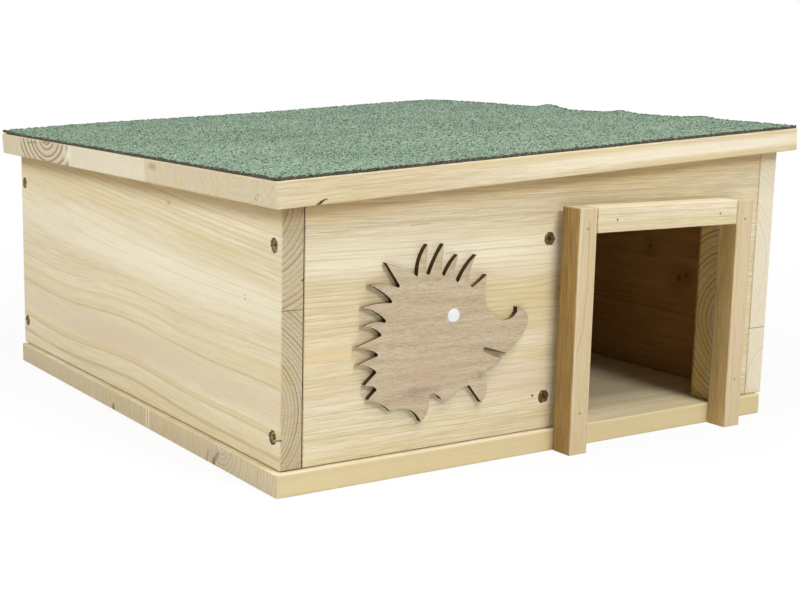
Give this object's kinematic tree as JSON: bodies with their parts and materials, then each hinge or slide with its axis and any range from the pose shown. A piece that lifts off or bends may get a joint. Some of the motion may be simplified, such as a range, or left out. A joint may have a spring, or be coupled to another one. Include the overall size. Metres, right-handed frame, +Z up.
{
  "type": "hedgehog feeding station",
  "caption": "Low pine house for feeding hedgehogs: post-framed doorway, divider wall inside, animal cut-out on the front and a felted, sloping roof that lifts on rear hinges.",
  "frame": {"origin": "centre of the base board's underside, on the ground", "axes": "+X to the right as seen from the entrance side, +Y from the entrance side to the hinged rear, +Z up"},
  "size_m": [0.4478, 0.4837, 0.2261],
  "materials": {
    "pine": "planed, untreated glued pine",
    "pine_batten": "planed, untreated pine batten",
    "plywood": "thin brown plywood with cut edges darkened by heat",
    "eye_paint": "thick white paint",
    "roof_felt": "bitumen felt with green mineral granules",
    "hinge_steel": "zinc-plated steel",
    "screw_bronze": "yellow-passivated screw, dulled",
    "brad_steel": "dull nail head"
  },
  "bodies": {
    "box": {"base_board": "pine", "left_side_panel": "pine", "right_side_panel": "pine", "front_panel": "pine", "back_panel": "pine", "divider_wall": "pine", "entrance_post_left": "pine_batten", "entrance_post_right": "pine_batten", "entrance_lintel": "pine_batten", "hedgehog_cutout": "plywood", "hedgehog_eye": "eye_paint", "hinge_box_leaf_left": "hinge_steel", "hinge_box_leaf_right": "hinge_steel", "hinge_pin_left": "hinge_steel", "hinge_pin_right": "hinge_steel", "hinge_box_screws": "hinge_steel", "left_panel_screws": "screw_bronze", "right_panel_screws": "screw_bronze", "divider_screws": "screw_bronze", "base_screws": "screw_bronze", "entrance_brads": "brad_steel", "cutout_brads": "brad_steel"},
    "roof": {"roof_board": "pine", "roof_felt": "roof_felt", "hinge_roof_leaf_left": "hinge_steel", "hinge_roof_leaf_right": "hinge_steel", "hinge_roof_screws": "hinge_steel"}
  },
  "joints": [
    {"name": "roof_hinge", "type": "hinge", "parent": "box", "child": "roof", "pos_m": [0.00476, 0.2299, 0.1868], "axis": [-0.9982, 0, -0.0597], "range_deg": [0, 100]}
  ]
}
